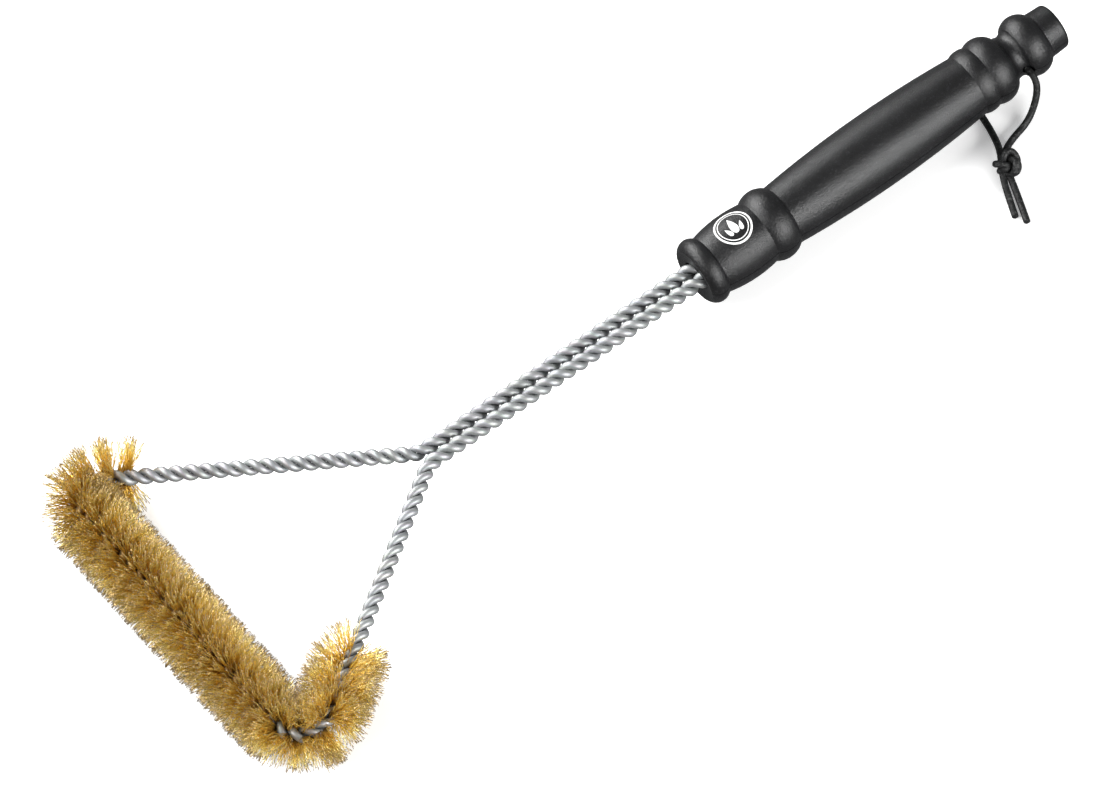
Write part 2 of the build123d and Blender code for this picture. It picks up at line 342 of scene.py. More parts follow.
@dataclass(frozen=True)
class DrawnSteel(Finish):
    """Bright drawn wire: lines along it, painted shade where the two wires meet, brown painted shade along
    the stretch where brass is bound.
    """

    bright: tuple = (0.43, 0.44, 0.445)
    dull: tuple = (0.34, 0.35, 0.355)
    # painted shade: the colour laid on the side of each wire that faces the other wire
    wire_gap_shade: tuple = (0.09, 0.09, 0.095)
    # painted shade: the rope's dark brown colour along the stretch that the brass covers
    bristle_shade: tuple = (0.30, 0.20, 0.09)
    bound: tuple[float, float] = (0.0, 0.0)
    line_scale: tuple = (60.0, 26.0, 1.0)
    streaks: float = 0.35
    # edges of the painted shade, by distance round the wire from its innermost line: full within 0.04 of a
    # turn, gone by 0.17
    crevice: tuple[float, float] = (0.17, 0.04)
    gloss: tuple[float, float] = (0.48, 0.60)
    patina_scale: float = 180.0
    grain_scale: float = 1300.0
    grain_share: float = 0.5
    metallic: float = 0.8
    relief: float = 0.04 * MM

    def build(self, effects: Effects) -> bpy.types.Material:
        """Make the material."""
        material, shader, surface, patina, grain = self.begin(effects)
        unrolled = shader.node("ShaderNodeTexCoord").outputs["UV"]
        stretched = shader.node("ShaderNodeMapping", {0: unrolled, "Scale": self.line_scale}).outputs[0]
        lines = shader.node("ShaderNodeTexNoise", {"Vector": stretched, "Scale": 1.0, "Detail": 4.0}).outputs
        base = shader.mix(patina["Mask"], (*self.bright, 1), (*self.dull, 1))
        streaked = shader.mix(self.streaks, base, lines["Color"], "MULTIPLY")
        parts = shader.node("ShaderNodeSeparateXYZ", {0: unrolled}).outputs
        inward = shader.math("ABSOLUTE", shader.math("SUBTRACT", parts["Y"], 0.5))
        # painted shade: the inner side of each wire, facing the other wire, is darkened
        gap_shaded = shader.mix(shader.window(inward, *self.crevice), streaked, (*self.wire_gap_shade, 1))
        # painted shade under the bristles: the rope is darkened brown between the two ends of bound
        begun = shader.math("GREATER_THAN", parts["X"], self.bound[0])
        ended = shader.math("LESS_THAN", parts["X"], self.bound[1])
        bristle_shaded = shader.mix(shader.math("MULTIPLY", begun, ended), gap_shaded, (*self.bristle_shade, 1))
        shader.tree.links.new(bristle_shaded, surface.inputs["Base Color"])
        surface.inputs["Metallic"].default_value = self.metallic
        fine = shader.math("MULTIPLY", grain["Height"], self.grain_share)
        self.bump(shader, surface, shader.math("ADD", lines["Fac"], fine))
        return material


@dataclass(frozen=True)
class BrassFilament(Finish):
    """Crimped brass: amber at the root, gold along the length, and dark cut tips."""

    root: tuple = (0.22, 0.11, 0.03)
    tip: tuple = (0.13, 0.095, 0.055)
    between: tuple = (
        (0.2, (0.70, 0.43, 0.07)),
        (0.55, (1.0, 0.72, 0.14)),
        (0.84, (1.0, 0.90, 0.40)),
        (0.91, (0.66, 0.48, 0.22)),
        (0.965, (0.30, 0.22, 0.12)),
    )
    tints: tuple = ((0.0, (0.70, 0.60, 0.40)), (1.0, (1.0, 1.0, 1.0)), (0.3, (0.92, 0.88, 0.76)))
    worn: tuple = (0.66, 0.42, 0.10)
    wear: float = 0.2
    gloss: tuple[float, float] = (0.2, 0.36)
    patina_scale: float = 90.0
    relief: float = 0.0
    metallic: float = 0.72

    def build(self, effects: Effects) -> bpy.types.Material:
        """Make the material."""
        material, shader, surface, patina, _ = self.begin(effects)
        unrolled = shader.node("ShaderNodeTexCoord").outputs["UV"]
        parts = shader.node("ShaderNodeSeparateXYZ", {0: unrolled}).outputs
        base = shader.ramp(parts["X"], [(0.0, self.root), (1.0, self.tip), *self.between])
        toned = shader.mix(1.0, base, shader.ramp(parts["Y"], self.tints), "MULTIPLY")
        wear = shader.math("MULTIPLY", patina["Mask"], self.wear)
        shader.tree.links.new(shader.mix(wear, toned, (*self.worn, 1)), surface.inputs["Base Color"])
        surface.inputs["Metallic"].default_value = self.metallic
        return material


# ---------------------------------------------------------------- mesh helpers


def deselect() -> None:
    """Leave nothing selected and nothing in edit mode."""
    for item in bpy.context.view_layer.objects:
        item.select_set(False)
    bpy.context.view_layer.objects.active = None


def activate(item: bpy.types.Object) -> None:
    """Make one object the only selected one."""
    deselect()
    item.select_set(True)
    bpy.context.view_layer.objects.active = item


def apply_modifiers(item: bpy.types.Object) -> None:
    """Apply every modifier of an object in order."""
    activate(item)
    for modifier in list(item.modifiers):
        bpy.ops.object.modifier_apply(modifier=modifier.name)


def settle(item: bpy.types.Object) -> None:
    """Move an object's place into its mesh, so that it sits at the origin."""
    item.data.transform(item.matrix_world)
    item.matrix_world = Matrix.Identity(4)


def dress(item: bpy.types.Object, material: bpy.types.Material, body: Body) -> None:
    """Give a new piece its material and the body that it rides on."""
    item.data.materials.clear()
    item.data.materials.append(material)
    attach(item, body.value)


def mesh_object(
    name: str, points: np.ndarray, loops: np.ndarray, sizes: np.ndarray, uv: np.ndarray
) -> bpy.types.Object:
    """Make a smooth mesh object from arrays.

    Args:
        name: the object's name.
        points: vertex places, one row each.
        loops: vertex index of each face corner, face after face.
        sizes: number of corners of each face.
        uv: texture place of each face corner.

    Returns:
        The new object, linked to the scene.
    """
    mesh = bpy.data.meshes.new(name)
    mesh.vertices.add(len(points))
    mesh.vertices.foreach_set("co", points.astype(np.float32).ravel())
    mesh.loops.add(len(loops))
    mesh.loops.foreach_set("vertex_index", loops.astype(np.int32))
    mesh.polygons.add(len(sizes))
    starts = np.concatenate([[0], np.cumsum(sizes)[:-1]])
    mesh.polygons.foreach_set("loop_start", starts.astype(np.int32))
    layer = mesh.uv_layers.new(name="along")
    mesh.update(calc_edges=True)
    layer.data.foreach_set("uv", uv.astype(np.float32).ravel())
    mesh.polygons.foreach_set("use_smooth", np.ones(len(sizes), bool))
    mesh.validate()
    item = bpy.data.objects.new(name, mesh)
    bpy.context.scene.collection.objects.link(item)
    return item


def unit(rows: np.ndarray) -> np.ndarray:
    """Scale each row to length 1."""
    return rows / np.linalg.norm(rows, axis=-1, keepdims=True)


def wrapped(angle: np.ndarray | float) -> np.ndarray | float:
    """The same angle between -180 and 180 degrees, in radians."""
    return (angle + math.pi) % (2 * math.pi) - math.pi


# ---------------------------------------------------------------- rope


class Bend:
    """One piece of the rope's path: a straight run, or an arc if it turns."""

    def __init__(self, start: np.ndarray, heading: float, length: float, turn: float = 0.0) -> None:
        """Keep the start point, heading, length and the whole turn in radians."""
        self.start, self.heading, self.length, self.turn = start, heading, length, turn

    def at(self, distance: np.ndarray) -> tuple[np.ndarray, np.ndarray]:
        """Points and headings at distances along this piece."""
        heading = self.heading + self.turn * distance / self.length
        if self.turn == 0.0:
            step = np.stack([np.cos(heading), np.sin(heading)], -1) * distance[:, None]
            return self.start + step, heading
        radius = self.length / self.turn
        sine = np.sin(heading) - math.sin(self.heading)
        cosine = math.cos(self.heading) - np.cos(heading)
        return self.start + radius * np.stack([sine, cosine], -1), heading


@dataclass
class RopePath:
    """Middle line of the rope, bent to the brush's triangle, in the handle's seam plane."""

    mouth: np.ndarray
    spacing: float = 6.9 * MM
    inside: float = 62.0 * MM
    stem: float = 139.0 * MM
    depth: float = 123.0 * MM
    half_width: float = 91.0 * MM
    shoulder_bend: float = 14.0 * MM
    corner_bend: float = 11.0 * MM
    lean: float = math.radians(-1.2)
    tolerance: float = 1e-9
    bends: list[Bend] = field(default_factory=list)
    stretches: dict[str, tuple[float, float]] = field(default_factory=dict)

    def __post_init__(self) -> None:
        """Work out the runs and the arcs from the corners."""
        half = self.spacing / 2
        far = -self.stem - self.depth
        corners = np.array([
            (self.inside, half),
            (-self.stem, half),
            (far, self.half_width),
            (far, -self.half_width),
            (-self.stem, -half),
            (self.inside, -half),
        ])
        radii = [self.shoulder_bend, self.corner_bend, self.corner_bend, self.shoulder_bend]
        here = corners[0]
        for before, corner, after, radius in zip(corners, corners[1:], corners[2:], radii):
            heading_in = math.atan2(*(corner - before)[::-1])
            heading_out = math.atan2(*(after - corner)[::-1])
            turn = wrapped(heading_out - heading_in)
            setback = radius * math.tan(abs(turn) / 2)
            arc_start = corner - setback * unit(corner - before)
            self.bends.append(Bend(here, heading_in, float(np.linalg.norm(arc_start - here))))
            self.bends.append(Bend(arc_start, heading_in, radius * abs(turn), turn))
            here = corner + setback * unit(after - corner)
        last = corners[-1] - here
        self.bends.append(Bend(here, math.atan2(last[1], last[0]), float(np.linalg.norm(last))))
        names = ["left_stem", "left_shoulder", "left_arm", "left_corner", "head"]
        names += ["right_corner", "right_arm", "right_shoulder", "right_stem"]
        start = 0.0
        for name, bend in zip(names, self.bends):
            self.stretches[name] = (start, start + bend.length)
            start += bend.length
        self.length = start

    def at(self, distance: np.ndarray) -> tuple[np.ndarray, np.ndarray, np.ndarray]:
        """Places along the rope.

        Args:
            distance: distances from the rope's first end.

        Returns:
            Points, directions and sideways directions, one row each.
        """
        flat, heading = np.zeros((len(distance), 2)), np.zeros(len(distance))
        for (start, end), bend in zip(self.stretches.values(), self.bends):
            inside = (distance >= start - self.tolerance) & (distance <= end + self.tolerance)
            flat[inside], heading[inside] = bend.at(distance[inside] - start)
        heading = heading + self.lean
        cosine, sine = math.cos(self.lean), math.sin(self.lean)
        turned = flat @ np.array([[cosine, sine], [-sine, cosine]])
        level = np.zeros(len(distance))
        points = np.column_stack([turned, level]) + self.mouth
        along = np.column_stack([np.cos(heading), np.sin(heading), level])
        side = np.column_stack([-np.sin(heading), np.cos(heading), level])
        return points, along, side


@dataclass
class TwistedRope:
    """The two steel wires, laid round each other from end to end of the frame."""

    path: RopePath
    wire_radius: float = 1.75 * MM
    strand_radius: float = 1.8 * MM
    lay: float = 12.55 * MM
    rings_per_turn: int = 22
    sides: int = 16

    def angle(self, distance: np.ndarray, strand: int = 0) -> np.ndarray:
        """Angle of a strand about the rope; the start angle nests the two stem ropes."""
        phase = (math.pi / 2 - 2 * math.pi * self.path.length / self.lay) / 2
        return 2 * math.pi * distance / self.lay + phase + strand * math.pi

    def centres(self, distance: np.ndarray, strand: int) -> np.ndarray:
        """Middle line of one wire."""
        points, _, side = self.path.at(distance)
        angle = self.angle(distance, strand)[:, None]
        return points + self.strand_radius * (side * np.cos(angle) + UP * np.sin(angle))

    def build(self, strand: int, name: str) -> bpy.types.Object:
        """Sweep one wire's section along its bent helix.

        Args:
            strand: 0 or 1.
            name: the piece's name.

        Returns:
            The closed tube.
        """
        count = math.ceil(self.path.length / self.lay * self.rings_per_turn)
        distance = np.linspace(0.0, self.path.length, count + 1)
        middle = self.centres(distance, strand)
        tangent = unit(np.gradient(middle, axis=0))
        outward = middle - self.path.at(distance)[0]
        outward = unit(outward - (outward * tangent).sum(1, keepdims=True) * tangent)
        binormal = np.cross(tangent, outward)
        turn = np.linspace(0.0, 2 * math.pi, self.sides, endpoint=False)
        cosine, sine = np.cos(turn)[None, :, None], np.sin(turn)[None, :, None]
        ring = cosine * outward[:, None] + sine * binormal[:, None]
        points = (middle[:, None] + self.wire_radius * ring).reshape(-1, 3)
        row, column = np.meshgrid(np.arange(count), np.arange(self.sides), indexing="ij")
        following = (column + 1) % self.sides
        quads = np.stack([
            row * self.sides + column,
            row * self.sides + following,
            (row + 1) * self.sides + following,
            (row + 1) * self.sides + column,
        ], -1).reshape(-1, 4)
        across = np.stack([column, column + 1, column + 1, column], -1).reshape(-1, 4) / self.sides
        far = distance[np.stack([row, row, row + 1, row + 1], -1).reshape(-1, 4)]
        first_cap = np.arange(self.sides)[::-1]
        last_cap = count * self.sides + np.arange(self.sides)
        loops = np.concatenate([quads.ravel(), first_cap, last_cap])
        sizes = np.concatenate([np.full(len(quads), 4), [self.sides, self.sides]])
        quad_uv = np.stack([far.ravel(), across.ravel()], -1)
        uv = np.concatenate([quad_uv, np.zeros((2 * self.sides, 2))])
        return mesh_object(name, points, loops, sizes, uv)

    def dress(self, material: bpy.types.Material) -> None:
        """Build both wires in place of the frame's stretches."""
        for strand, letter in enumerate("ab"):
            wire = self.build(strand, f"rope_wire_{letter}")
            dress(wire, material, Body.BRUSH)
            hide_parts(*[f"{name}_wire_{letter}" for name in self.path.stretches])
            LOG.info("%s: %d faces", wire.name, len(wire.data.polygons))


# ---------------------------------------------------------------- bristles


@dataclass(frozen=True)
class BristleRun:
    """One stretch of bound filaments.

    Its ends flare along the rope. Spread and mess scatter the filaments round and along the rope, clump says
    how much of that a whole tuft shares, and parting opens the row that faces up.
    """

    node: str
    start: float
    end: float
    flare_start: float = 0.0
    flare_end: float = 0.0
    per_millimetre: float = 66.0
    spread: float = 0.42
    parting: float = 0.075
    mess: float = 0.07
    clump: float = 0.55
    tuft: float = 1.3 * MM


@dataclass
class BrassHead:
    """Crimped brass filaments held between the two wires."""

    rope: TwistedRope
    radius: float = 18.7 * MM
    filament_radius: float = 0.14 * MM
    root: float = 1.6 * MM
    joints: int = 8
    left_arm: float = 9.0 * MM
    right_arm: float = 30.5 * MM
    sections: int = 4
    parting_side: tuple = (-0.25, -0.52, 0.82)
    parting_reach: float = 0.55
    parting_push: tuple[float, float] = (0.2, 1.5)
    scatter_whole: float = 1.35
    tilt_scatter: float = 0.8
    flare_share: tuple[float, float] = (0.4, 1.3)
    longest: float = 0.985
    trim: float = 0.15
    trim_power: float = 2.2
    tuft_trim: float = 0.4 / 3
    crimps: tuple[float, float] = (1.6, 2.6)
    crimp_height: tuple[float, float] = (0.18, 0.5)
    crimp_start: float = 0.25
    curl: float = 1.1 * MM
    lowest: float = 0.15 * MM

    def runs(self) -> list[BristleRun]:
        """The runs in order round the head."""
        stretch = self.rope.path.stretches
        end = stretch["left_arm"][1]
        made = [BristleRun(
            "left_arm_bristles", end - self.left_arm, end,
            flare_start=0.32, per_millimetre=44.0, mess=0.16, clump=0.9, tuft=2.2 * MM,
        )]
        made.append(BristleRun(
            "left_corner_bristles", *stretch["left_corner"],
            spread=0.34, mess=0.13, clump=0.8, tuft=2.0 * MM,
        ))
        start, end = stretch["head"]
        step = (end - start) / self.sections
        for index in range(self.sections):
            span = (start + index * step, start + (index + 1) * step)
            made.append(BristleRun(f"head_bristles_{index + 1}", *span))
        made.append(BristleRun(
            "right_corner_bristles", *stretch["right_corner"],
            per_millimetre=46.0, spread=0.38, parting=0.34, mess=0.26, clump=0.95, tuft=3.2 * MM,
        ))
        start = stretch["right_arm"][0]
        made.append(BristleRun(
            "right_arm_bristles", start, start + self.right_arm,
            flare_end=0.5, spread=0.50, parting=0.1, mess=0.3, clump=0.9, tuft=2.4 * MM,
        ))
        return made

    def lines(self, run: BristleRun, random: np.random.Generator) -> tuple[np.ndarray, np.ndarray]:
        """Middle lines of a run's filaments.

        Args:
            run: the stretch to fill.
            random: the source of the scatter.

        Returns:
            Points by filament and joint, and a tone by filament.
        """
        count = int((run.end - run.start) / MM * run.per_millimetre)
        distance = np.sort(random.uniform(run.start, run.end, count))
        middle, along, side = self.rope.path.at(distance)
        opposite = random.integers(0, 2, count)
        tuft = ((distance - run.start) / run.tuft).astype(int) * 2 + opposite
        lean = random.normal(0.0, 1.0, (tuft.max() + 1, 3))[tuft]
        own = random.normal(0.0, self.scatter_whole - run.clump, count)
        scatter = run.spread * (own + run.clump * lean[:, 0])
        angle = self.rope.angle(distance) + math.pi / 2 + opposite * math.pi + scatter
        faced = np.arctan2(self.parting_side[2], side @ np.array(self.parting_side))
        off = wrapped(angle - faced)
        pushed = run.parting * random.uniform(*self.parting_push, count)
        angle = angle + np.sign(off) * pushed * np.exp(-((off / self.parting_reach) ** 2))
        cosine, sine = np.cos(angle)[:, None], np.sin(angle)[:, None]
        radial = side * cosine + UP * sine
        tangential = side * -sine + UP * cosine
        share = (distance - run.start) / (run.end - run.start)
        flare = run.flare_end * share**3 - run.flare_start * (1 - share) ** 3
        tilt = run.mess * (random.normal(0.0, self.tilt_scatter, count) + lean[:, 1])
        tilt = tilt + flare * random.uniform(*self.flare_share, count)
        heading = unit(radial + along * tilt[:, None])
        trimmed = self.trim * random.uniform(0, 1, count) ** self.trim_power
        length = self.radius * (self.longest - trimmed - run.mess * self.tuft_trim * lean[:, 2] ** 2)
        length = np.clip(length - self.root, 0.5 * self.radius, self.radius)
        t = np.linspace(0.0, 1.0, self.joints)[None, :, None]
        points = middle[:, None] + heading[:, None] * (self.root + t * length[:, None, None])
        waves = random.uniform(*self.crimps, count)[:, None, None]
        starts = random.uniform(0.0, 2 * math.pi, (2, count))[:, :, None, None]
        height = random.uniform(*self.crimp_height, count)[:, None, None] * MM
        height = height * np.minimum(1.0, t / self.crimp_start)
        points = points + along[:, None] * height * np.sin(2 * math.pi * waves * t + starts[0])
        points = points + tangential[:, None] * height * np.cos(2 * math.pi * waves * t + starts[1])
        curl = random.normal(0.0, 1.0, (2, count))[:, :, None, None] * self.curl * t**2
        points = points + along[:, None] * curl[0] + tangential[:, None] * curl[1]
        points[..., 2] = np.maximum(points[..., 2], self.lowest)
        return points, random.uniform(0.0, 1.0, count)

    def build(self, run: BristleRun, random: np.random.Generator) -> bpy.types.Object:
        """Make a run's filaments as thin three-sided wires in one mesh."""
        lines, tone = self.lines(run, random)
        count, joints = lines.shape[:2]
        heading = unit(lines[:, -1] - lines[:, 0])
        first = unit(np.cross(heading, random.normal(0.0, 1.0, (count, 3))))
        second = np.cross(heading, first)
        turn = np.array([0.0, 2.0, 4.0]) * math.pi / 3
        cosine, sine = np.cos(turn)[None, :, None], np.sin(turn)[None, :, None]
        ring = cosine * first[:, None] + sine * second[:, None]
        points = (lines[:, :, None] + self.filament_radius * ring[:, None]).reshape(-1, 3)
        base = (np.arange(count) * joints * 3)[:, None]
        quads = []
        quad_along = []
        for joint in range(joints - 1):
            for corner in range(3):
                following = (corner + 1) % 3
                quads.append([
                    joint * 3 + corner,
                    joint * 3 + following,
                    joint * 3 + 3 + following,
                    joint * 3 + 3 + corner,
                ])
                quad_along.append([joint, joint, joint + 1, joint + 1])
        caps = [[2, 1, 0], [joints * 3 - 3, joints * 3 - 2, joints * 3 - 1]]
        pattern = np.array([corner for face in quads + caps for corner in face])
        steps = [step for row in quad_along for step in row] + [0] * 3 + [joints - 1] * 3
        pattern_along = np.array(steps) / (joints - 1)
        loops = (base + pattern[None]).ravel()
        sizes = np.tile(np.array([4] * len(quads) + [3, 3]), count)
        uv = np.stack([np.tile(pattern_along, count), np.repeat(tone, len(pattern))], -1)
        return mesh_object(run.node.replace("bristles", "filaments"), points, loops, sizes, uv)

    def dress(self, material: bpy.types.Material) -> None:
        """Build every run in place of the frame's plain fans."""
        for index, run in enumerate(self.runs()):
            piece = self.build(run, np.random.default_rng(SEED + index))
            dress(piece, material, Body.BRUSH)
            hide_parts(run.node)
            LOG.info("%s: %d faces", piece.name, len(piece.data.polygons))


# ---------------------------------------------------------------- handle


@dataclass
class Handle:
    """The moulded half shells with their print, and the ferrule inside."""

    mouth: np.ndarray
    print_place: float = 22.3 * MM
    print_radius: float = 8.2 * MM
    print_thickness: float = 0.05 * MM
    print_sink: float = 0.6
    print_lift: float = 20.0 * MM
    ring_width: float = 0.75 * MM
    ring_points: int = 96
    tongue_points: int = 40
    tongue_sharpness: float = 1.2
    tongues: tuple = ((8.2, 4.6, 0.0, 0.4, 0.0), (4.6, 2.5, -3.1, -1.6, 0.35), (4.6, 2.5, 3.1, -1.6, -0.35))

    def print_centre(self) -> np.ndarray:
        """The middle of the print, while it is still flat and above the shell."""
        return self.mouth + np.array([self.print_place, 0.0, self.print_lift])

    def flat_piece(self, radius: float, inner: float, name: str) -> bpy.types.Object:
        """A flat ring, made from a circle that is filled, inset and opened."""
        deselect()
        bpy.ops.mesh.primitive_circle_add(
            vertices=self.ring_points, radius=radius, fill_type="NGON", location=self.print_centre()
        )
        piece = bpy.context.object
        piece.name = name
        bpy.ops.object.mode_set(mode="EDIT")
        bpy.ops.mesh.select_all(action="SELECT")
        bpy.ops.mesh.inset(thickness=radius - inner, depth=0)
        bpy.ops.mesh.delete(type="FACE")
        bpy.ops.object.mode_set(mode="OBJECT")
        return piece

    def outline_piece(self, outline: list[tuple[float, float]], name: str) -> bpy.types.Object:
        """A flat filled outline, given round its edge in millimetres from the print's middle."""
        mesh = bpy.data.meshes.new(name)
        corners = [(x * MM, y * MM, 0.0) for x, y in outline]
        mesh.from_pydata(corners, [], [list(range(len(corners)))])
        piece = bpy.data.objects.new(name, mesh)
        piece.location = self.print_centre()
        bpy.context.scene.collection.objects.link(piece)
        activate(piece)
        bpy.ops.object.mode_set(mode="EDIT")
        bpy.ops.mesh.select_all(action="SELECT")
        bpy.ops.mesh.quads_convert_to_tris()
        bpy.ops.mesh.subdivide(number_cuts=2)
        bpy.ops.object.mode_set(mode="OBJECT")
        return piece

    def tongue_outline(
        self, height: float, width: float, x: float, y: float, lean: float
    ) -> list[tuple[float, float]]:
        """A tongue of flame: round at the bottom, drawn out to a point at the top.

        Args:
            height: length of the tongue, in millimetres.
            width: its widest, in millimetres.
            x: sideways place of its middle.
            y: place of its middle up the print.
            lean: turn from upright, in radians.

        Returns:
            The outline's points.
        """
        outline = []
        for index in range(self.tongue_points):
            turn = 2 * math.pi * index / self.tongue_points
            reach = height / 2 * math.cos(turn)
            girth = width / 2 * math.sin(turn) * math.sin(turn / 2) ** self.tongue_sharpness
            outline.append((
                x + girth * math.cos(lean) - reach * math.sin(lean),
                y + girth * math.sin(lean) + reach * math.cos(lean),
            ))
        return outline

    def emblem(self) -> bpy.types.Object:
        """A generic round print, a flame within two rings, laid on the shell."""
        pieces = [self.flat_piece(self.print_radius, self.print_radius - self.ring_width, "handle_print")]
        inner = self.print_radius - 2 * self.ring_width
        pieces.append(self.flat_piece(inner, inner - self.ring_width / 2, "print_ring"))
        for tongue in self.tongues:
            pieces.append(self.outline_piece(self.tongue_outline(*tongue), "print_tongue"))
        deselect()
        for piece in pieces:
            piece.select_set(True)
        bpy.context.view_layer.objects.active = pieces[0]
        bpy.ops.object.join()
        whole = pieces[0]
        wrap = whole.modifiers.new("lay", "SHRINKWRAP")
        wrap.target = frame["nodes"]["handle_top_shell"]
        wrap.wrap_method = "PROJECT"
        wrap.use_project_z = True
        wrap.use_negative_direction = True
        wrap.use_positive_direction = False
        wrap.offset = self.print_thickness * self.print_sink
        thick = whole.modifiers.new("thickness", "SOLIDIFY")
        thick.thickness = self.print_thickness
        thick.offset = 1.0
        apply_modifiers(whole)
        settle(whole)
        return whole

    def dress(self, plastic: bpy.types.Material, plate: bpy.types.Material, ink: bpy.types.Material) -> None:
        """Finish the shells and the ferrule, and lay the print."""
        emblem = self.emblem()
        for name, material in (
            ("handle_top_shell", plastic),
            ("handle_bottom_shell", plastic),
            ("anchor_ferrule", plate),
        ):
            node = frame["nodes"][name]
            node.data.materials.clear()
            node.data.materials.append(material)
        dress(emblem, ink, Body.BRUSH)
        LOG.info("%s: %d faces", emblem.name, len(emblem.data.polygons))


# ---------------------------------------------------------------- cord


@dataclass
class HangingCord:
    """The cord loop through the neck, its overhand knot and its two loose ends."""

    hole: Vector
    diameter: float = 3.0 * MM
    exit_reach: float = 9.9 * MM
    knot_centre: tuple = (-31.0, -34.6, -13.3)
    knot_strands: tuple = ((1.45 * MM, -0.9 * MM, 0.42), (1.75 * MM, 0.7 * MM, -0.22))
    knot_rise: float = -1.45
    knot_points: int = 36
    tails: tuple = (-0.41, -0.91, 0.0)
    round_side: tuple = (0.91, -0.41, 0.0)
    floor: float = -17.2
    smoothness: int = 5
    front_length: float = 90.0 * MM
    rear_length: float = 111.0 * MM

    def front_route(self) -> list[tuple[float, float, float]]:
        """Route of the front leg, through the knot, to the long end, in millimetres from the hole."""
        low = self.floor
        leg = [(0, 0, 0), (0, -8.6, 0), (-0.3, -16.4, -0.9), (-2.5, -18.2, -9.0), (-10.0, -20.5, low)]
        leg += [(-20.5, -23.0, low), (-28.4, -27.4, low + 1.6), (-32.0, -33.4, low + 2.6)]
        return leg + [(-33.4, -38.2, low + 1.4), (-37.4, -49.6, low), (-41.8, -60.6, low)]

    def rear_route(self) -> list[tuple[float, float, float]]:
        """Route of the rear leg, under the grip and through the knot, to the short end, likewise."""
        low = self.floor
        leg = [(0, 0, 0), (0, 8.6, 0), (-0.5, 13.2, -3.4), (-6.5, 16.4, -10.5), (-18.5, 14.0, low)]
        leg += [(-22.0, 1.0, low), (-24.2, -12.0, low), (-27.2, -22.0, low + 1.2), (-30.2, -28.0, low + 4.3)]
        leg += [(-33.0, -32.6, low + 4.4), (-35.8, -36.4, low + 1.8)]
        return leg + [(-39.9, -45.6, low), (-43.8, -55.2, low)]

    def strand(self, name: str, route: list[tuple[float, float, float]]) -> bpy.types.Object:
        """Lay one smooth round cord along a route.

        Args:
            name: the piece's name.
            route: control points from the middle of the hole, in millimetres.

        Returns:
            The curve object.
        """
        curve = bpy.data.curves.new(name, "CURVE")
        curve.dimensions = "3D"
        spline = curve.splines.new("NURBS")
        spline.points.add(len(route) - 1)
        for point, place in zip(spline.points, route):
            point.co = (*(self.hole + Vector(place) * MM), 1.0)
        spline.order_u = 3
        spline.use_endpoint_u = True
        spline.resolution_u = 12
        curve.bevel_depth = self.diameter / 2
        curve.bevel_resolution = self.smoothness
        curve.use_fill_caps = True
        made = bpy.data.objects.new(name, curve)
        bpy.context.scene.collection.objects.link(made)
        return made

    def knot(self) -> bpy.types.Object:
        """An overhand knot of two strands drawn tight, with one round side and two short lobes.

        Returns:
            The knot as one mesh.
        """
        curve = bpy.data.curves.new("cord_knot_turns", "CURVE")
        curve.dimensions = "3D"
        tails, round_side = Vector(self.tails).normalized(), Vector(self.round_side).normalized()
        centre = self.hole + Vector(self.knot_centre) * MM
        for size, lift, turn in self.knot_strands:
            spline = curve.splines.new("NURBS")
            spline.points.add(self.knot_points - 1)
            for index, point in enumerate(spline.points):
                t = 2 * math.pi * index / self.knot_points
                across = math.cos(t) - 2 * math.cos(2 * t)
                down = math.sin(t) + 2 * math.sin(2 * t)
                rise = Vector((0, 0, self.knot_rise * math.sin(3 * t)))
                place = (round_side * across + tails * down + rise) * size
                place.rotate(Matrix.Rotation(turn, 3, "Z"))
                point.co = (*(centre + place + Vector((0, 0, lift))), 1.0)
            spline.order_u = 3
            spline.use_cyclic_u = True
            spline.resolution_u = self.smoothness
        curve.bevel_depth = self.diameter / 2
        curve.bevel_resolution = self.smoothness
        made = bpy.data.objects.new("cord_knot_turns", curve)
        bpy.context.scene.collection.objects.link(made)
        activate(made)
        bpy.ops.object.convert(target="MESH")
        made = bpy.context.object
        made.name = "cord_knot_turns"
        bpy.ops.object.shade_smooth()
        return made

    def dress(self, material: bpy.types.Material) -> None:
        knot = self.knot()
        dress(knot, material, Body.LOOP)
        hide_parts("cord_knot")
        front = self.strand("front_cord", self.front_route())
        rear = self.strand("rear_cord", self.rear_route())
        dress(front, material, Body.LOOP)
        dress(rear, material, Body.LOOP)
        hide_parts("front_cord_leg", "long_cord_end")
        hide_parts("rear_cord_leg", "short_cord_end")
        for cord, length, side in ((front, self.front_length, -1), (rear, self.rear_length, 1)):
            LOG.info("%s: %.0f mm", cord.name, length / MM)


# ---------------------------------------------------------------- studio


@dataclass(frozen=True)
class Camera:
    """A long lens far off, looking down on the brush from the front left."""

    azimuth: float = math.radians(-26.14)
    elevation: float = math.radians(54.28)
    roll: float = math.radians(-13.26)
    target: tuple = (-0.0366, -0.0151, 0.0187)
    distance: float = 10.0
    view_width: float = 0.453646
    sensor: float = 36.0
    clip: tuple[float, float] = (1.0, 100.0)

    def build(self) -> None:
        """Make the camera the scene's own."""
        data = bpy.data.cameras.new("studio_camera")
        data.sensor_width = self.sensor
        data.lens = self.sensor * self.distance / self.view_width
        data.clip_start, data.clip_end = self.clip
        level = Vector((math.cos(self.azimuth), math.sin(self.azimuth), 0.0))
        back = Vector((
            math.sin(self.azimuth) * math.cos(self.elevation),
            -math.cos(self.azimuth) * math.cos(self.elevation),
            math.sin(self.elevation),
        ))
        rise = back.cross(level)
        right = level * math.cos(self.roll) + rise * math.sin(self.roll)
        up = rise * math.cos(self.roll) - level * math.sin(self.roll)
        made = bpy.data.objects.new("studio_camera", data)
        bpy.context.scene.collection.objects.link(made)
        turned = Matrix((right, up, back)).transposed().to_4x4()
        made.matrix_world = Matrix.Translation(Vector(self.target) + back * self.distance) @ turned
        bpy.context.scene.camera = made


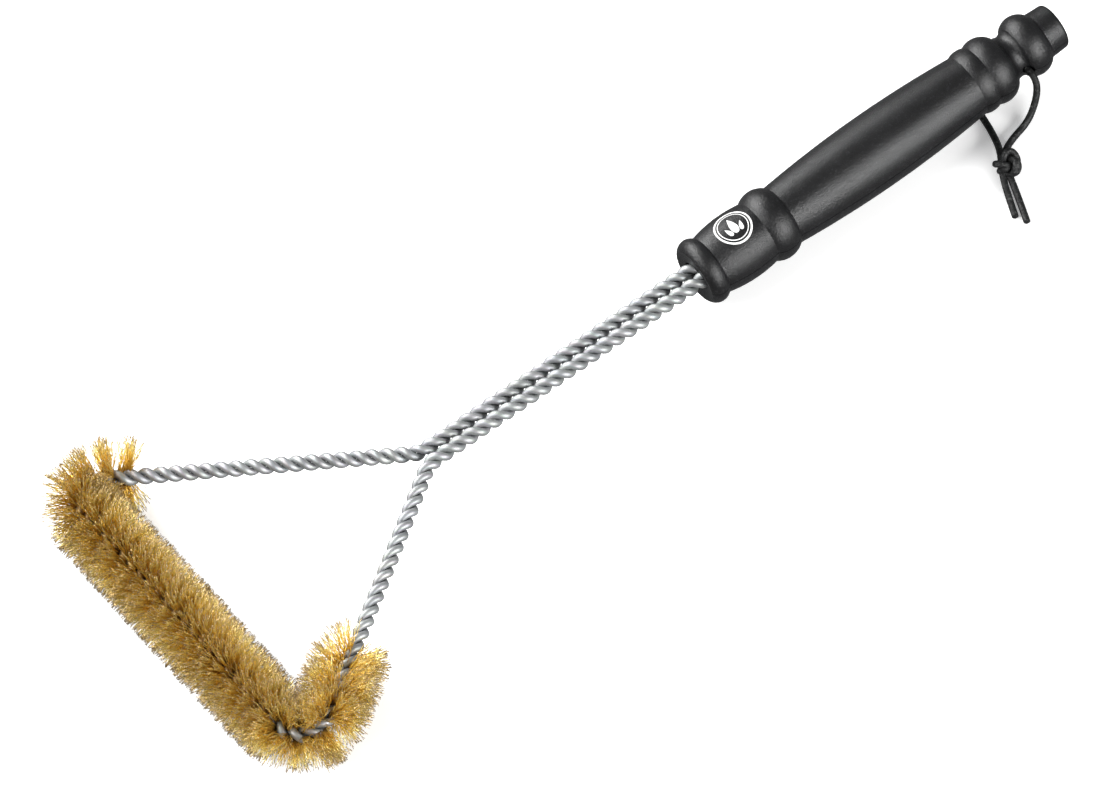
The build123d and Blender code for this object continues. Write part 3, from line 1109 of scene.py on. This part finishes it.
@dataclass(frozen=True)
class Softbox:
    """One soft area light, aimed at the middle of the brush."""

    name: str
    place: tuple
    size: tuple[float, float]
    power: float

    def build(self) -> None:
        """Hang the light."""
        data = bpy.data.lights.new(self.name, "AREA")
        data.shape = "RECTANGLE"
        data.size, data.size_y = self.size
        data.energy = self.power
        made = bpy.data.objects.new(self.name, data)
        bpy.context.scene.collection.objects.link(made)
        made.location = self.place
        made.rotation_mode = "QUATERNION"
        made.rotation_quaternion = (-Vector(self.place)).to_track_quat("-Z", "Y")


@dataclass(frozen=True)
class Studio:
    """A pale floor, a soft surround and the softboxes."""

    softboxes: tuple = (
        Softbox("back_softbox", (-0.35, 1.2, 1.0), (1.5, 0.5), 50.0),
        Softbox("front_softbox", (0.4, -1.3, 0.5), (1.6, 0.4), 40.0),
        Softbox("left_softbox", (-1.2, 0.3, 1.3), (0.7, 0.9), 20.0),
    )
    floor_size: float = 60.0
    floor_gap: float = 0.05 * MM
    paper: tuple = (0.93, 0.93, 0.925)
    paper_roughness: float = 0.9
    paper_specular: float = 0.1
    paper_glow: float = 0.3
    surround: tuple = (0.97, 0.985, 1.0)
    surround_strength: float = 0.25

    def floor(self) -> None:
        """Lay a wide plain floor just under the brush. It glows a little and doesn't show in reflections."""
        deselect()
        bpy.ops.mesh.primitive_plane_add(size=self.floor_size, location=(0.0, 0.0, -self.floor_gap))
        plane = bpy.context.object
        plane.name = "floor"
        plane.visible_glossy = False
        material = bpy.data.materials.new("floor_paper")
        material.use_nodes = True
        inputs = material.node_tree.nodes["Principled BSDF"].inputs
        inputs["Base Color"].default_value = (*self.paper, 1.0)
        inputs["Roughness"].default_value = self.paper_roughness
        inputs["Specular IOR Level"].default_value = self.paper_specular
        inputs["Emission Color"].default_value = (1.0, 1.0, 1.0, 1.0)
        inputs["Emission Strength"].default_value = self.paper_glow
        plane.data.materials.append(material)

    def build(self) -> None:
        """Set up floor, surround and lights."""
        self.floor()
        world = bpy.data.worlds.new("surround")
        bpy.context.scene.world = world
        world.use_nodes = True
        background = world.node_tree.nodes["Background"]
        background.inputs["Color"].default_value = (*self.surround, 1.0)
        background.inputs["Strength"].default_value = self.surround_strength
        for softbox in self.softboxes:
            softbox.build()
        bpy.context.scene.view_settings.view_transform = "Standard"


def main() -> None:
    """Build and dress every sub-assembly in order."""
    logging.basicConfig(level=logging.INFO, format="%(name)s %(message)s")
    low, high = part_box("handle_top_shell")
    mouth = np.array([low.x, (low.y + high.y) / 2, low.z])
    effects = Effects()
    Camera().build()
    hole = Vector(mouth) + Vector((HOLE_FROM_MOUTH, 0.0, 0.0))
    HangingCord(hole).dress(WaxedCord("waxed_cord").build(effects))
    rope = TwistedRope(RopePath(mouth))
    stretches = rope.path.stretches
    # the stretch of rope that gets the painted shade under the bristles
    bound = (stretches["left_corner"][0], stretches["head"][1] - UNSHADED_BEFORE_CORNER)
    rope.dress(DrawnSteel("drawn_steel", bound=bound).build(effects))
    BrassHead(rope).dress(BrassFilament("brass_filament").build(effects))
    Handle(mouth).dress(
        MouldedPlastic("moulded_plastic").build(effects),
        PlatedSteel("plated_steel").build(effects),
        WhitePrint("white_print").build(effects),
    )
    Studio().build()


if __name__ == "__main__":
    main()
